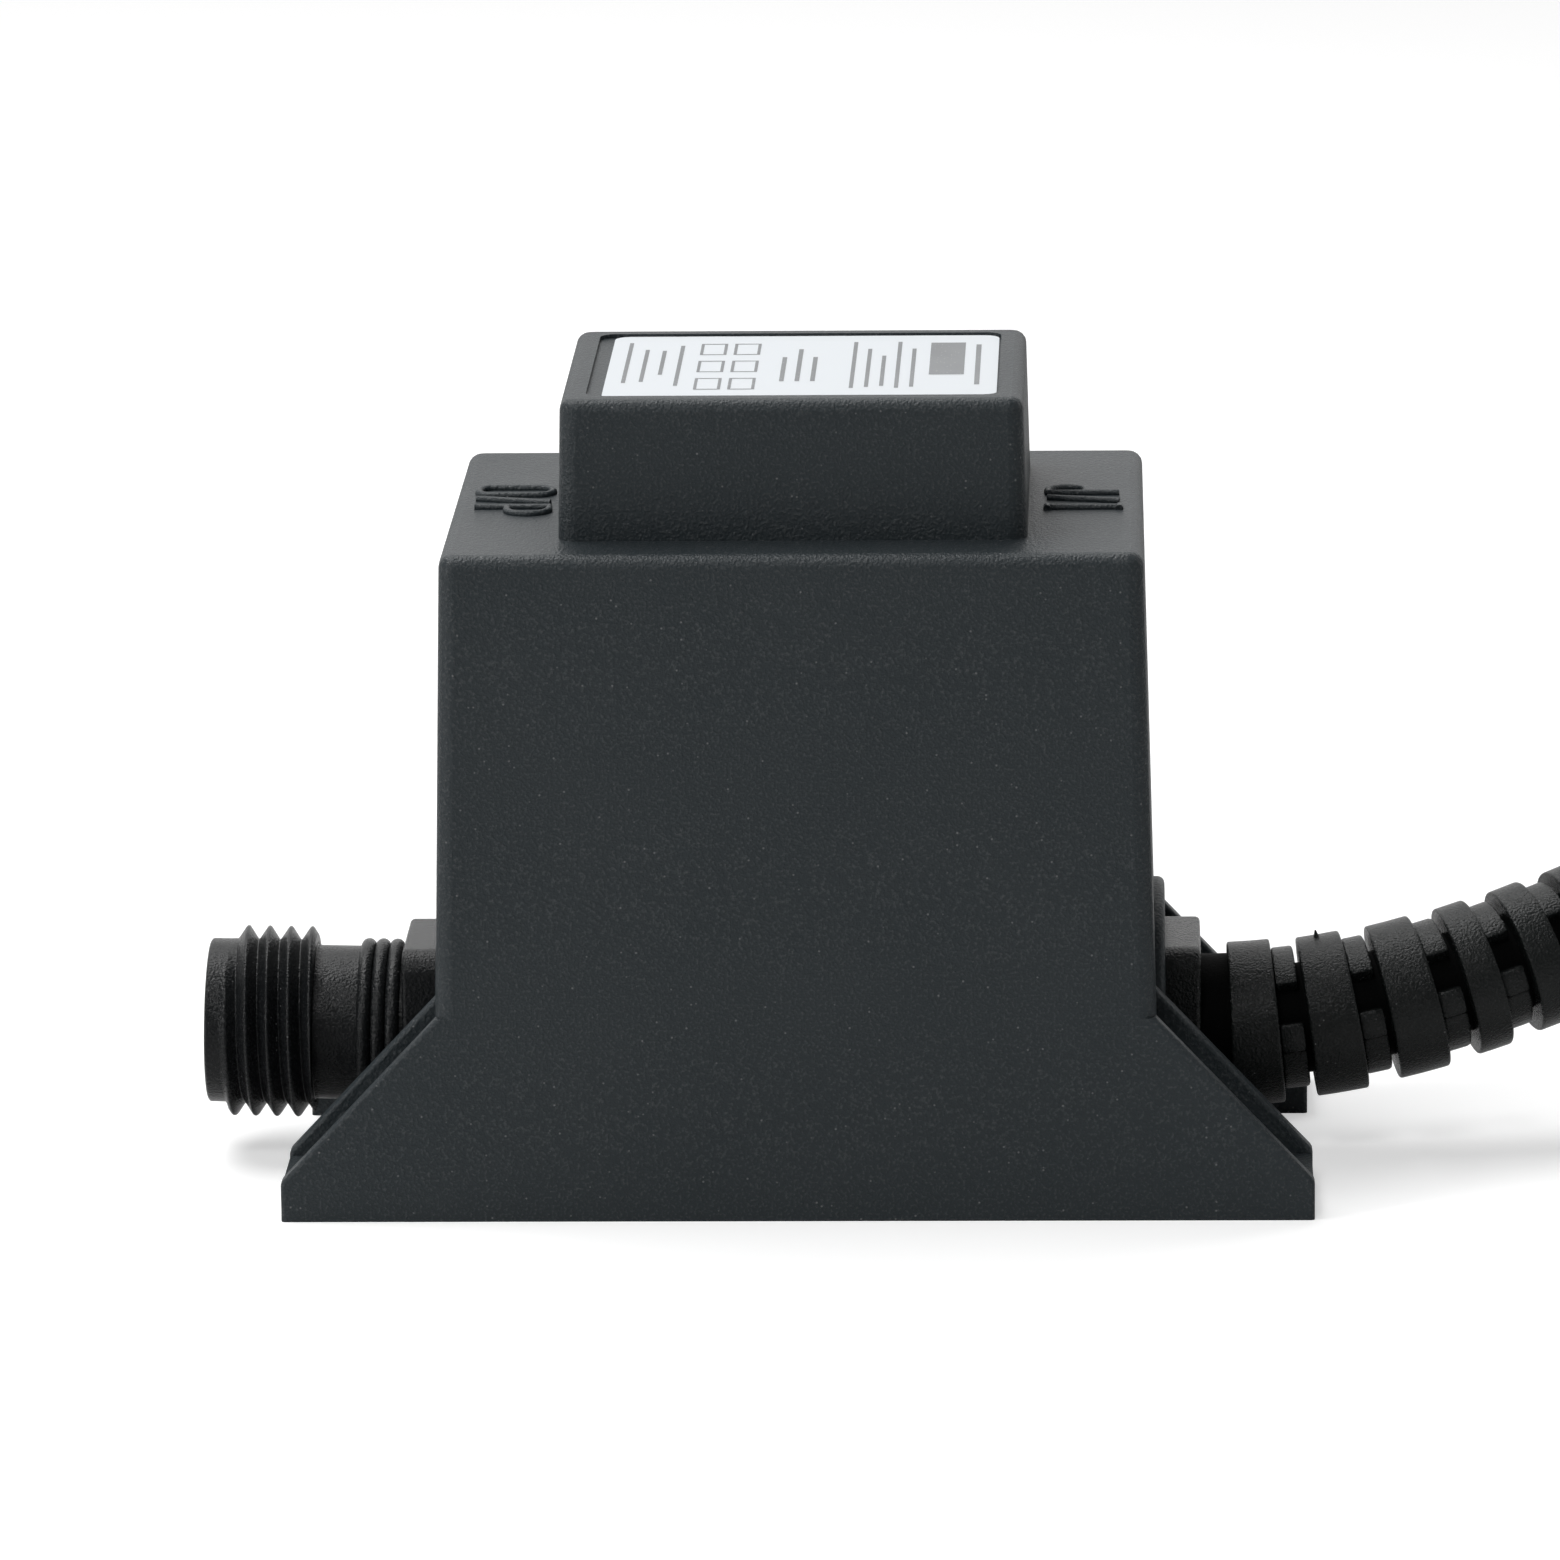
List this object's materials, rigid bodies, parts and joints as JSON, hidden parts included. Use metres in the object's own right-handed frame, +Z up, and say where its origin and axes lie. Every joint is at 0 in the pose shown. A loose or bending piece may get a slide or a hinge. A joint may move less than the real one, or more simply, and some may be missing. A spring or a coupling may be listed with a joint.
{
  "type": "low voltage landscape transformer",
  "caption": "Potted garden transformer in a gusseted black housing with a threaded output socket and a coiled mains lead.",
  "frame": {"origin": "centre of the housing's base, in the plane it stands on", "axes": "+X along the base from the output socket to the mains lead, +Y from front to rear, +Z up"},
  "size_m": [0.2977, 0.1065, 0.0793],
  "materials": {
    "housing_plastic": "fine spark-eroded texture",
    "label_film": "matte printed film",
    "socket_plastic": "satin moulded",
    "contact_brass": "bright",
    "boot_rubber": "satin moulded",
    "ring_steel": "spring temper",
    "lead_rubber": "dull extruded",
    "wire_brown": "smooth insulation",
    "wire_blue": "smooth insulation",
    "wire_black": "smooth insulation",
    "tinned_metal": "tinned",
    "fuse_ceramic": "unglazed",
    "core_steel": "stacked sheet edges",
    "bobbin_plastic": "glass-filled",
    "copper_wire": "enamelled wire",
    "tape_film": "polyester film",
    "potting_resin": "cast",
    "tie_plastic": "satin",
    "plug_rubber": "satin moulded",
    "pin_nickel": "nickel plated"
  },
  "bodies": {
    "root": {"housing": "housing_plastic", "rating_label": "label_film", "output_socket": "socket_plastic", "socket_insert": "socket_plastic", "output_contacts": "contact_brass", "strain_relief_boot": "boot_rubber", "retaining_rings": "ring_steel", "mains_lead_inner": "lead_rubber", "live_wire": "wire_brown", "neutral_wire": "wire_blue", "crimp_sleeve": "tinned_metal", "thermal_fuse": "fuse_ceramic", "e_laminations": "core_steel", "i_laminations": "core_steel", "bobbin": "bobbin_plastic", "primary_winding": "copper_wire", "secondary_winding": "copper_wire", "winding_tape": "tape_film", "terminal_pins": "tinned_metal", "output_wires": "wire_black", "potting_compound": "potting_resin", "mains_lead": "lead_rubber", "mains_lead_coil": "lead_rubber", "mains_lead_end": "lead_rubber", "coil_tie": "tie_plastic", "plug_body": "plug_rubber", "plug_pins": "pin_nickel", "plug_sleeves": "socket_plastic"}
  },
  "joints": []
}
